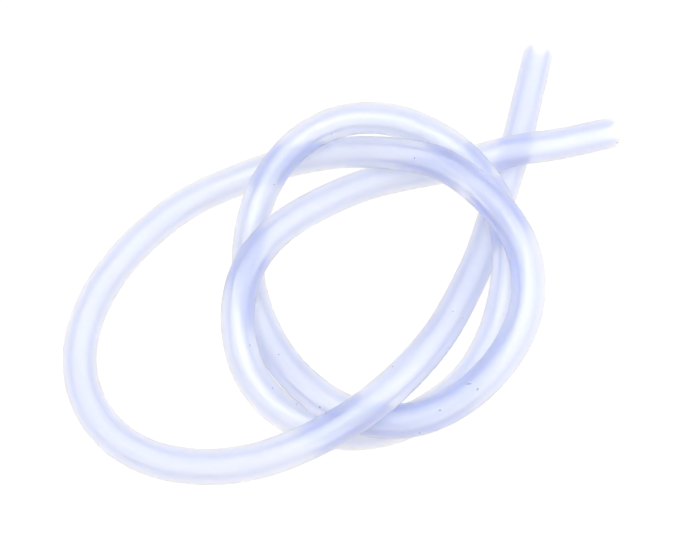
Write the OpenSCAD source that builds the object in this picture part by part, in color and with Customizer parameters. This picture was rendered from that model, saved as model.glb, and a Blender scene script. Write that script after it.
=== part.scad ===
// Silicone tubing coil.
// One length of soft, milky silicone tubing, laid in a loose coil on a flat
// surface: a wide loop on the left, two tighter turns stacked on the right
// that cross over each other, and two free ends reaching to the upper right.
// The tube is hollow from mouth to mouth. Millimetres, +Z up, the surface at
// z = 0, the origin below the middle of the coil.

/* [Tube] */
// outside diameter of the tube
tube_od = 10; // [8:0.5:10]
// bore diameter of the tube
tube_bore = 5; // [3:0.5:7]

/* [Ends] */
// length of true round tube at each cut end
end_len = 12; // [8:0.5:12]
// degrees the cut at the upper end leans from square
cut_lean = 6; // [0:1:10]

/* [Facets] */
// flats around the swept section
sides = 16; // [14:2:18]

/* [Hidden] */
silicone = [0.80, 0.84, 0.95];

// Route of the tube's centre line, from the far end that points away to the
// end that lies across it. The curve is a uniform cubic B-spline: it passes
// close to these points and leaves each end in a straight line.
route = [
    // far end, straight on the surface, then under the other end
    [63.5, 80.5, 5], [59, 63, 5], [54.5, 45.5, 5], [50, 29, 5], [44, 12, 5],
    // long slant, climbing over both turns at the front
    [39, -5, 7], [32, -21, 11], [25, -37, 17], [16, -51, 23],
    [4, -65, 27], [-11, -73.5, 24], [-28, -78.5, 18.5],
    // wide left loop, down on the surface
    [-45, -77.5, 12], [-62, -72.5, 8], [-76, -61, 5.5], [-84, -44, 5],
    [-83.5, -26, 5], [-77, -9, 5], [-67, 5, 5], [-54, 18, 5], [-38, 26, 5],
    // under the other turn, then up and over it at the right
    [-21, 32.5, 7], [-3, 31, 14], [11, 24, 22.5], [26, 17, 29], [39.5, 4, 29],
    // upper turn: outer at the right, inner and on top at the front
    [50, -9, 25], [52, -27, 20], [45, -43, 17], [32, -57, 15],
    [15, -65.5, 15], [-3, -63.5, 16], [-16.5, -52, 14.5],
    // down to the surface at the left
    [-25, -37.5, 7], [-32, -21, 5], [-35, -4, 5],
    // up over the left loop and round the top
    [-32, 14, 11], [-23, 27.5, 18], [-8, 37, 23], [11, 37, 24.5],
    [27, 28, 25], [39.5, 16.5, 22], [47.5, 1, 16],
    // lower turn: inner at the right, outer at the front, on the surface
    [46.5, -16, 11], [42, -33, 7], [32.5, -48.5, 5], [18, -59, 5],
    [1, -65, 5], [-17.5, -61, 5],
    // up over the upper turn at the left
    [-31.5, -49.5, 8], [-36.5, -33, 15], [-34.5, -15, 16.5], [-25.5, 1, 14],
    [-12, 12.5, 11], [3, 21.5, 9.5], [21, 25.5, 10],
    // over the far end and straight down to the surface
    [34, 26.5, 12.5], [44, 28, 15.5], [54, 30.5, 16],
    [64, 34, 12.5], [75, 39.5, 8.75], [86, 45, 5]
];
// moves the route so that the origin is below the middle of the coil
route_shift = [0, 0.5, 0];
// most degrees of bend between two rings of the sweep
ring_turn = 8;

R = tube_od / 2;
r = tube_bore / 2;
n = len(route);
pts = [for (p = route) p + route_shift + [0, 0, R - 5]];

// radius of a polygon that has the same area as a circle of radius 1
fair = sqrt((PI * 2 / sides) / sin(360 / sides));

// control point i, with one straight step beyond each end
function ctrl(i) =
    i < 0 ? 2 * pts[0] - pts[1] :
    i > n - 1 ? 2 * pts[n - 1] - pts[n - 2] : pts[i];

// point and direction of the centre line, t from 0 to n - 1
function span(t) = min(floor(t), n - 2);
function at(t) =
    let (i = span(t), u = t - i)
    (ctrl(i - 1) * pow(1 - u, 3) + ctrl(i) * (3 * pow(u, 3) - 6 * u * u + 4)
     + ctrl(i + 1) * (-3 * pow(u, 3) + 3 * u * u + 3 * u + 1)
     + ctrl(i + 2) * pow(u, 3)) / 6;
function unit(v) = v / norm(v);
function dir(t) =
    let (i = span(t), u = t - i)
    unit((ctrl(i) - ctrl(i - 1)) * pow(1 - u, 2)
         + (ctrl(i + 1) - ctrl(i)) * (1 + 2 * u - 2 * u * u)
         + (ctrl(i + 2) - ctrl(i + 1)) * u * u);

// angle the line turns through in span i
function turn(i) =
    acos(min(1, unit(ctrl(i + 1) - ctrl(i - 1)) * unit(ctrl(i + 2) - ctrl(i))));

// length of the first and last spans, which are straight
first_len = norm(pts[1] - pts[0]);
last_len = norm(pts[n - 1] - pts[n - 2]);

// one ring of the sweep: [t, outer radius, bore radius]
// Inside the round ends the section is slightly smaller than the true walls.
small = [0.975 * R, 0.97 * r];
full = [fair * R, fair * r];
stations = concat(
    [[end_len / 2 / first_len, small[0], small[1]],
     [(end_len + 0.6) / first_len, small[0], small[1]]],
    [for (i = [1 : n - 3], k = [0 : ceil(turn(i) / ring_turn) - 1])
        [i + k / ceil(turn(i) / ring_turn), full[0], full[1]]],
    [[n - 2, full[0], full[1]],
     [n - 1 - (end_len + 0.6) / last_len, small[0], small[1]],
     [n - 1 - end_len / 2 / last_len, small[0], small[1]]]
);

// points of one ring, with a flat at the bottom
function ring(t, rad) =
    let (c = at(t), d = dir(t), s = unit(cross(d, [0, 0, 1])), w = cross(s, d))
    [for (k = [0 : sides - 1])
        let (a = 360 * (k + 0.5) / sides - 90)
        c + rad * (cos(a) * s + sin(a) * w)];

// the bent length of the tube between the two round ends
module swept_wall() {
    m = len(stations);
    outer = [for (q = stations) each ring(q[0], q[1])];
    inner = [for (q = stations) each ring(q[0], q[2])];
    o = m * sides;
    faces = concat(
        [for (j = [0 : m - 2], k = [0 : sides - 1])
            let (a = j * sides + k, b = j * sides + (k + 1) % sides)
            each [[a, b, b + sides], [a, b + sides, a + sides]]],
        [for (j = [0 : m - 2], k = [0 : sides - 1])
            let (a = o + j * sides + k, b = o + j * sides + (k + 1) % sides)
            each [[a, b + sides, b], [a, a + sides, b + sides]]],
        [for (k = [0 : sides - 1])
            let (a = k, b = (k + 1) % sides)
            each [[a, o + a, o + b], [a, o + b, b]]],
        [for (k = [0 : sides - 1])
            let (a = (m - 1) * sides + k, b = (m - 1) * sides + (k + 1) % sides)
            each [[a, o + b, o + a], [a, b, o + b]]]
    );
    polyhedron(points = concat(outer, inner), faces = faces, convexity = 10);
}

// places a shape at a mouth with +Z pointing out of the tube
module at_mouth(p, d) {
    translate(p)
        rotate([0, acos(d[2]), atan2(d[1], d[0])])
            children();
}

mouth_b = pts[0];
mouth_a = pts[n - 1];
out_b = unit(pts[0] - pts[1]);
out_a = unit(pts[n - 1] - pts[n - 2]);

// true round outside of a cut end, z = 0 at the cut
module round_end(over) {
    translate([0, 0, -end_len]) cylinder(r = R, h = end_len + over, $fn = 64);
}

// true round bore of a cut end, with a short taper into the swept bore
module round_bore() {
    translate([0, 0, -end_len - 0.3]) cylinder(r = r, h = end_len + 1.3, $fn = 64);
    translate([0, 0, -end_len - 0.8]) cylinder(r1 = 0.9 * r, r2 = r, h = 0.5, $fn = 64);
}

module silicone_tube() {
    color(silicone)
        difference() {
            union() {
                swept_wall();
                at_mouth(mouth_b, out_b) round_end(0);
                at_mouth(mouth_a, out_a) round_end(1);
            }
            at_mouth(mouth_b, out_b) round_bore();
            at_mouth(mouth_a, out_a) {
                round_bore();
                // the cut here leans, so the lower lip reaches further
                rotate([0, -cut_lean, 0])
                    translate([0, 0, 5]) cube([30, 30, 10], center = true);
            }
        }
}

silicone_tube();
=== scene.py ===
import bpy
import math
import numpy as np
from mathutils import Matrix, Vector


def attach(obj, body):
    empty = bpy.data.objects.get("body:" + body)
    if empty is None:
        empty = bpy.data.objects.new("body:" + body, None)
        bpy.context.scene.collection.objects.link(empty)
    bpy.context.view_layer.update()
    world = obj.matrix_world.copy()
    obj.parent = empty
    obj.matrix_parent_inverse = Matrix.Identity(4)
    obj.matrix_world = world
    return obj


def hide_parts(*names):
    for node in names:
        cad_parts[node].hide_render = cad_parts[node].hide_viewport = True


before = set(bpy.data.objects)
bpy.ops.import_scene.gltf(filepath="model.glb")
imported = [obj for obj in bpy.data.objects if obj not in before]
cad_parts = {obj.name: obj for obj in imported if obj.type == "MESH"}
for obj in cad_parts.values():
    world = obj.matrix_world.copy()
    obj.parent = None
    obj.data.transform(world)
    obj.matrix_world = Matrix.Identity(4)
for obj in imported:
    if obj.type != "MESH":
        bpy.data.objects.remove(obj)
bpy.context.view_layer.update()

scene = bpy.context.scene
scene.view_settings.view_transform = "Standard"

# ------------------------------------------------------- looks, in one place
# The tube lets most light straight through its wall, which takes up red and
# green along the way, and scatters the rest at its milky skins.
THROUGH, INDEX, ROUGH, SCATTER = 0.790, 1.070, 0.380, 0.0030
WALL_TINT, WALL_DENSITY = (0.180, 0.370, 0.930), 100.0
SKIN_DEEP, SKIN_PALE = (0.915, 0.943, 0.985), (0.955, 0.978, 0.995)
# painted light: the bore is the same silicone as the outside, painted whiter to stand in for light that
# hardly reaches it
BORE_PAINTED_LIGHT = (1.0, 1.0, 1.0)
COAT, COAT_INDEX, COAT_ROUGH = 0.70, 1.51, 0.40
FLOOR_ALBEDO, FLOOR_SEEN, FLOOR_GLOW = 0.040, 0.970, (1.408, 1.246, 0.929)
SKY_LOW, SKY_HIGH = (1.070, 1.040, 0.980), (0.600, 0.600, 0.600)
KEY_AT, KEY_SIZE, KEY_POWER = (-0.050, -0.200, 1.000), 0.550, 7.50
SIDE_AT, SIDE_SIZE, SIDE_POWER = (0.380, 0.000, 0.190), 0.3, 0.500

# ------------------------------------------------------------------ camera
LOOK = Vector((-0.002, -0.0085, 0.0))
ELEVATION = math.radians(60.0)
DISTANCE = 0.4158
cam_data = bpy.data.cameras.new("camera")
cam = bpy.data.objects.new("camera", cam_data)
scene.collection.objects.link(cam)
scene.camera = cam
back = Vector((0.0, -math.cos(ELEVATION), math.sin(ELEVATION)))
cam.location = LOOK + back * DISTANCE
cam.rotation_mode = "QUATERNION"
cam.rotation_quaternion = (-back).to_track_quat("-Z", "Y")
cam_data.sensor_width = 36.0
cam_data.lens = 67.8
cam_data.clip_start, cam_data.clip_end = 0.01, 20.0

# ------------------------------------------------------------------- route
# the same points as the part's own route, in millimetres
ROUTE = [
    (63.5, 80.5, 5), (59, 63, 5), (54.5, 45.5, 5), (50, 29, 5), (44, 12, 5),
    (39, -5, 7), (32, -21, 11), (25, -37, 17), (16, -51, 23),
    (4, -65, 27), (-11, -73.5, 24), (-28, -78.5, 18.5),
    (-45, -77.5, 12), (-62, -72.5, 8), (-76, -61, 5.5), (-84, -44, 5),
    (-83.5, -26, 5), (-77, -9, 5), (-67, 5, 5), (-54, 18, 5), (-38, 26, 5),
    (-21, 32.5, 7), (-3, 31, 14), (11, 24, 22.5), (26, 17, 29), (39.5, 4, 29),
    (50, -9, 25), (52, -27, 20), (45, -43, 17), (32, -57, 15),
    (15, -65.5, 15), (-3, -63.5, 16), (-16.5, -52, 14.5),
    (-25, -37.5, 7), (-32, -21, 5), (-35, -4, 5),
    (-32, 14, 11), (-23, 27.5, 18), (-8, 37, 23), (11, 37, 24.5),
    (27, 28, 25), (39.5, 16.5, 22), (47.5, 1, 16),
    (46.5, -16, 11), (42, -33, 7), (32.5, -48.5, 5), (18, -59, 5),
    (1, -65, 5), (-17.5, -61, 5),
    (-31.5, -49.5, 8), (-36.5, -33, 15), (-34.5, -15, 16.5), (-25.5, 1, 14),
    (-12, 12.5, 11), (3, 21.5, 9.5), (21, 25.5, 10),
    (34, 26.5, 12.5), (44, 28, 15.5), (54, 30.5, 16),
    (64, 34, 12.5), (75, 39.5, 8.75), (86, 45, 5),
]
SHIFT = (0.0, 0.5, 0.0)
R, BORE = 0.005, 0.0025

P = (np.array(ROUTE, float) + SHIFT) / 1000.0
N = len(P)


def ctrl(i):
    if i < 0:
        return 2 * P[0] - P[1]
    if i > N - 1:
        return 2 * P[-1] - P[-2]
    return P[i]


def at(t):
    i = min(int(t), N - 2)
    u = t - i
    return (ctrl(i - 1) * (1 - u) ** 3 + ctrl(i) * (3 * u**3 - 6 * u * u + 4)
            + ctrl(i + 1) * (-3 * u**3 + 3 * u * u + 3 * u + 1) + ctrl(i + 2) * u**3) / 6


fine_t = np.linspace(0, N - 1, (N - 1) * 60 + 1)
fine_p = np.array([at(t) for t in fine_t])
fine_s = np.concatenate([[0], np.cumsum(np.linalg.norm(np.diff(fine_p, axis=0), axis=1))])
LENGTH = float(fine_s[-1])


def along(s):
    """centre-line points at these distances from the far end"""
    t = np.interp(s, fine_s, fine_t)
    return np.array([at(q) for q in t])


def frames(s):
    c = along(s)
    a = along(np.clip(s - 1e-4, 0, LENGTH))
    b = along(np.clip(s + 1e-4, 0, LENGTH))
    d = b - a
    d /= np.linalg.norm(d, axis=1)[:, None]
    side = np.cross(d, [0, 0, 1])
    side /= np.linalg.norm(side, axis=1)[:, None]
    return c, d, side, np.cross(side, d)


# -------------------------------------------------------------------- tube
def tube_mesh(name, step=0.0016, outer_n=48, inner_n=32):
    """One closed wall: outside, bore and the two cut faces. Its UV map "wall"
    holds the turn round the tube (0 to 1) and the metres along it, and its
    attribute "bore" is 1 on the faces of the bore."""
    s = np.linspace(0, LENGTH, int(LENGTH / step) + 1)
    m = len(s)
    c, d, side, up = frames(s)
    verts, faces, u_of, v_of = [], [], [], []

    def ring(i, rad, n, shift=0.0):
        base = len(verts)
        for k in range(n):
            a = 2 * math.pi * k / n
            off = math.cos(a) * side[i] + math.sin(a) * up[i]
            # the cut at the upper end leans: its lower lip reaches further
            lean = -0.10 * max(0.0, 1 - (LENGTH - s[i]) / 0.006) * R * float(off @ up[-1])
            verts.append(tuple(c[i] + rad * off + (lean + shift) * d[i]))
            u_of.append(k / n)
            v_of.append(s[i])
        return list(range(base, base + n))

    def bridge(r0, r1, flip):
        n = len(r0)
        for k in range(n):
            quad = (r0[k], r1[k], r1[(k + 1) % n], r0[(k + 1) % n])
            faces.append(quad[::-1] if flip else quad)

    outer = [ring(i, R, outer_n) for i in range(m)]
    inner = [ring(i, BORE, inner_n) for i in range(m)]
    for i in range(m - 1):
        bridge(outer[i], outer[i + 1], False)
    bore_from = len(faces)
    for i in range(m - 1):
        bridge(inner[i], inner[i + 1], True)
    bore_to = len(faces)

    # Rounded lips, and a cut face zipped between two rings of unequal count.
    # The face is crowned a little between them.
    lip = 0.00018
    for i, sign in ((0, -1), (m - 1, 1)):
        ro, ri = outer[i], inner[i]
        for q in (0.5, 1.0):
            a = q * math.pi / 2
            inset, rise = lip * (1 - math.cos(a)), lip * math.sin(a)
            no = ring(i, R - inset, outer_n, sign * rise)
            ni = ring(i, BORE + inset, inner_n, sign * rise)
            bridge(ro, no, sign < 0)
            bridge(ri, ni, sign > 0)
            ro, ri = no, ni
        for rad in (0.0046, 0.0042):
            no = ring(i, rad, outer_n, sign * (lip + 0.00006))
            bridge(ro, no, sign < 0)
            ro = no
        a = b = 0
        while a < outer_n or b < inner_n:
            if b >= inner_n or (a < outer_n and (a + 1) * inner_n <= (b + 1) * outer_n):
                tri = (ro[a % outer_n], ro[(a + 1) % outer_n], ri[b % inner_n])
                a += 1
            else:
                tri = (ro[a % outer_n], ri[(b + 1) % inner_n], ri[b % inner_n])
                b += 1
            faces.append(tri if sign < 0 else tri[::-1])

    me = bpy.data.meshes.new(name)
    me.from_pydata(verts, [], faces)
    me.update()
    bore = me.attributes.new("bore", "FLOAT", "FACE")
    bore.data.foreach_set("value", [float(bore_from <= k < bore_to) for k in range(len(faces))])
    layer = me.uv_layers.new(name="wall")
    u_of, v_of = np.array(u_of), np.array(v_of)
    for p in me.polygons:
        u = u_of[[me.loops[k].vertex_index for k in p.loop_indices]]
        if u.max() - u.min() > 0.5:  # the strip that closes the turn
            u = np.where(u < 0.5, u + 1.0, u)
        for k, x in zip(p.loop_indices, u):
            layer.data[k].uv = (x, v_of[me.loops[k].vertex_index])
        p.use_smooth = True
    return me


mesh = tube_mesh("silicone_tubing")
tube = bpy.data.objects.new("silicone_tubing", mesh)
scene.collection.objects.link(tube)

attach(tube, "root")
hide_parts("silicone_tube")


# --------------------------------------------------------------- materials
def material(name):
    m = bpy.data.materials.new(name)
    m.use_nodes = True
    nt = m.node_tree
    nt.nodes.clear()
    return m, nt, nt.nodes.new("ShaderNodeOutputMaterial")


def put(nt, socket, value):
    if isinstance(value, bpy.types.NodeSocket):
        nt.links.new(value, socket)
    else:
        socket.default_value = value


def calc(nt, op, a, b=0.0, c=0.0, clamp=False):
    n = nt.nodes.new("ShaderNodeMath")
    n.operation = op
    n.use_clamp = clamp
    for i, v in enumerate((a, b, c)):
        put(nt, n.inputs[i], v)
    return n.outputs[0]


def pack3(nt, x, y, z):
    n = nt.nodes.new("ShaderNodeCombineXYZ")
    for i, v in enumerate((x, y, z)):
        put(nt, n.inputs[i], v)
    return n.outputs[0]


def noise(nt, vector, scale, detail=2.0, rough=0.5):
    n = nt.nodes.new("ShaderNodeTexNoise")
    put(nt, n.inputs["Vector"], vector)
    n.inputs["Scale"].default_value = scale
    n.inputs["Detail"].default_value = detail
    n.inputs["Roughness"].default_value = rough
    return n.outputs["Fac"]


def remap(nt, value, lo, hi, to_lo=0.0, to_hi=1.0):
    n = nt.nodes.new("ShaderNodeMapRange")
    n.interpolation_type = "SMOOTHSTEP"
    for key, v in (("Value", value), ("From Min", lo), ("From Max", hi),
                   ("To Min", to_lo), ("To Max", to_hi)):
        put(nt, n.inputs[key], v)
    return n.outputs["Result"]


def blend(nt, fac, a, b):
    n = nt.nodes.new("ShaderNodeMix")
    n.data_type = "RGBA"
    put(nt, n.inputs[0], fac)
    put(nt, n.inputs[6], a)
    put(nt, n.inputs[7], b)
    return n.outputs[2]


m, nt, out = material("milky_silicone")
uv = nt.nodes.new("ShaderNodeUVMap")
uv.uv_map = "wall"
split = nt.nodes.new("ShaderNodeSeparateXYZ")
nt.links.new(uv.outputs[0], split.inputs[0])
turn, run = split.outputs[0], split.outputs[1]
# the tube as if pulled straight, in metres, with no seam round it
angle = calc(nt, "MULTIPLY", turn, 2 * math.pi)
cx = calc(nt, "MULTIPLY", calc(nt, "COSINE", angle), R)
cy = calc(nt, "MULTIPLY", calc(nt, "SINE", angle), R)
straight = pack3(nt, cx, cy, run)
drawn = pack3(nt, cx, cy, calc(nt, "MULTIPLY", run, 0.035))

cloud = noise(nt, straight, 75.0, 3.0, 0.55)      # milkiness, about 13 mm
swell = noise(nt, straight, 170.0, 2.0)           # soft waves, about 6 mm
streak = noise(nt, drawn, 620.0, 2.0, 0.6)        # extrusion lines
grain = noise(nt, straight, 3600.0, 2.0)          # matt skin

# specks and scuffs: millimetres round the tube and along it, half sizes, turn
MARKS = [
    (4.0, 423.5, 0.34, 0.30, 0), (3.8, 650.5, 0.26, 0.24, 0),
    (1.7, 677.5, 0.24, 0.22, 0), (12.4, 119.0, 0.26, 0.24, 0),
    (4.7, 149.5, 0.28, 0.26, 0), (8.9, 582.5, 0.26, 0.30, 0),
    (12.0, 562.0, 0.24, 0.34, 20), (3.3, 173.0, 0.40, 0.32, 30),
    (14.8, 536.0, 0.28, 0.26, 0), (5.2, 885.5, 0.24, 0.24, 0),
    (5.9, 869.5, 0.22, 0.30, 10), (5.1, 860.0, 0.24, 0.30, -15),
    (7.2, 518.0, 0.20, 1.10, 35), (10.0, 517.0, 0.22, 0.60, -20),
    (9.6, 529.5, 0.22, 0.50, 15), (8.6, 120.0, 0.20, 0.40, 10),
    (0.7, 1050.2, 0.34, 0.40, 0),
]
flat = pack3(nt, calc(nt, "MULTIPLY", turn, 2 * math.pi * R * 1000),
             calc(nt, "MULTIPLY", run, 1000.0), 0.0)
specks = None
for arc, dist, half_a, half_b, deg in MARKS:
    mp = nt.nodes.new("ShaderNodeMapping")
    mp.vector_type = "TEXTURE"
    mp.inputs["Location"].default_value = (arc, dist, 0)
    mp.inputs["Rotation"].default_value = (0, 0, math.radians(deg))
    mp.inputs["Scale"].default_value = (half_a, half_b, 1)
    nt.links.new(flat, mp.inputs["Vector"])
    ln = nt.nodes.new("ShaderNodeVectorMath")
    ln.operation = "LENGTH"
    nt.links.new(mp.outputs[0], ln.inputs[0])
    one = remap(nt, ln.outputs["Value"], 1.15, 0.35)
    specks = one if specks is None else calc(nt, "MAXIMUM", specks, one)

tone = calc(nt, "ADD", calc(nt, "MULTIPLY", remap(nt, cloud, 0.32, 0.68), 0.6),
            calc(nt, "MULTIPLY", remap(nt, streak, 0.30, 0.70), 0.4))
in_bore = nt.nodes.new("ShaderNodeAttribute")
in_bore.attribute_name = "bore"
colour = blend(nt, tone, (*SKIN_DEEP, 1), (*SKIN_PALE, 1))
colour = blend(nt, calc(nt, "MULTIPLY", specks, 0.85), colour, (0.06, 0.06, 0.14, 1))
# painted light: the faces of the bore take the whiter colour in place of the light the bore lacks
colour = blend(nt, in_bore.outputs["Fac"], colour, (*BORE_PAINTED_LIGHT, 1))
rough = remap(nt, calc(nt, "ADD", calc(nt, "MULTIPLY", cloud, 0.5), calc(nt, "MULTIPLY", streak, 0.5)),
              0.35, 0.65, ROUGH - 0.05, ROUGH + 0.05)
height = calc(nt, "MULTIPLY", swell, 0.00022)
height = calc(nt, "MULTIPLY_ADD", streak, 0.000035, height)
height = calc(nt, "MULTIPLY_ADD", grain, 0.000006, height)
bump = nt.nodes.new("ShaderNodeBump")
bump.inputs["Strength"].default_value = 1.0
bump.inputs["Distance"].default_value = 1.0
nt.links.new(height, bump.inputs["Height"])

bsdf = nt.nodes.new("ShaderNodeBsdfPrincipled")
bsdf.distribution = "MULTI_GGX"
bsdf.subsurface_method = "RANDOM_WALK"
nt.links.new(colour, bsdf.inputs["Base Color"])
nt.links.new(rough, bsdf.inputs["Roughness"])
nt.links.new(bump.outputs[0], bsdf.inputs["Normal"])
nt.links.new(bump.outputs[0], bsdf.inputs["Coat Normal"])
bsdf.inputs["IOR"].default_value = INDEX
bsdf.inputs["Subsurface Weight"].default_value = 1.0
bsdf.inputs["Subsurface Radius"].default_value = (0.8, 0.85, 1.0)
bsdf.inputs["Subsurface Scale"].default_value = SCATTER
bsdf.inputs["Transmission Weight"].default_value = THROUGH
bsdf.inputs["Coat Weight"].default_value = COAT
bsdf.inputs["Coat IOR"].default_value = COAT_INDEX
bsdf.inputs["Coat Roughness"].default_value = COAT_ROUGH
nt.links.new(bsdf.outputs[0], out.inputs["Surface"])
wall = nt.nodes.new("ShaderNodeVolumeAbsorption")
wall.inputs["Color"].default_value = (*WALL_TINT, 1)
wall.inputs["Density"].default_value = WALL_DENSITY
nt.links.new(wall.outputs[0], out.inputs["Volume"])
mesh.materials.append(m)

# ------------------------------------------------------- floor and lighting
# The floor is a lit white table: plain white to look at, brighter and warmer
# as a lamp.
fm, fnt, fout = material("pale_floor")
fb = fnt.nodes.new("ShaderNodeBsdfPrincipled")
fb.inputs["Base Color"].default_value = (FLOOR_ALBEDO,) * 3 + (1,)
fb.inputs["Roughness"].default_value = 0.7
fb.inputs["Specular IOR Level"].default_value = 0.3
seen = fnt.nodes.new("ShaderNodeLightPath").outputs["Is Camera Ray"]
fnt.links.new(blend(fnt, seen, (*FLOOR_GLOW, 1), (FLOOR_SEEN,) * 3 + (1,)), fb.inputs["Emission Color"])
fb.inputs["Emission Strength"].default_value = 1.0
fnt.links.new(fb.outputs[0], fout.inputs["Surface"])
bpy.ops.mesh.primitive_plane_add(size=6.0, location=(0, 0, -0.0002))
floor = bpy.context.object
floor.name = "floor"
floor.data.materials.append(fm)

world = bpy.data.worlds.new("studio")
scene.world = world
world.use_nodes = True
wnt = world.node_tree
bg = wnt.nodes["Background"]
where = wnt.nodes.new("ShaderNodeTexCoord")
up_z = wnt.nodes.new("ShaderNodeSeparateXYZ")
wnt.links.new(where.outputs["Generated"], up_z.inputs[0])
sky = wnt.nodes.new("ShaderNodeValToRGB")
wnt.links.new(up_z.outputs["Z"], sky.inputs[0])
sky.color_ramp.elements[0].position = 0.0
sky.color_ramp.elements[0].color = (*SKY_LOW, 1)
sky.color_ramp.elements[1].position = 0.9
sky.color_ramp.elements[1].color = (*SKY_HIGH, 1)
wseen = wnt.nodes.new("ShaderNodeLightPath").outputs["Is Camera Ray"]
wnt.links.new(blend(wnt, wseen, sky.outputs[0], (1.0, 1.0, 1.0, 1)), bg.inputs["Color"])
bg.inputs["Strength"].default_value = 1.0


def area(name, loc, size, power, aim=(0, 0, 0)):
    d = bpy.data.lights.new(name, "AREA")
    d.shape = "DISK"
    d.size = size
    d.energy = power
    o = bpy.data.objects.new(name, d)
    o.location = loc
    o.rotation_mode = "QUATERNION"
    o.rotation_quaternion = (Vector(aim) - Vector(loc)).to_track_quat("-Z", "Y")
    scene.collection.objects.link(o)
    return o


area("overhead", KEY_AT, KEY_SIZE, KEY_POWER)
area("side", SIDE_AT, SIDE_SIZE, SIDE_POWER, (0.04, 0.0, 0.01))
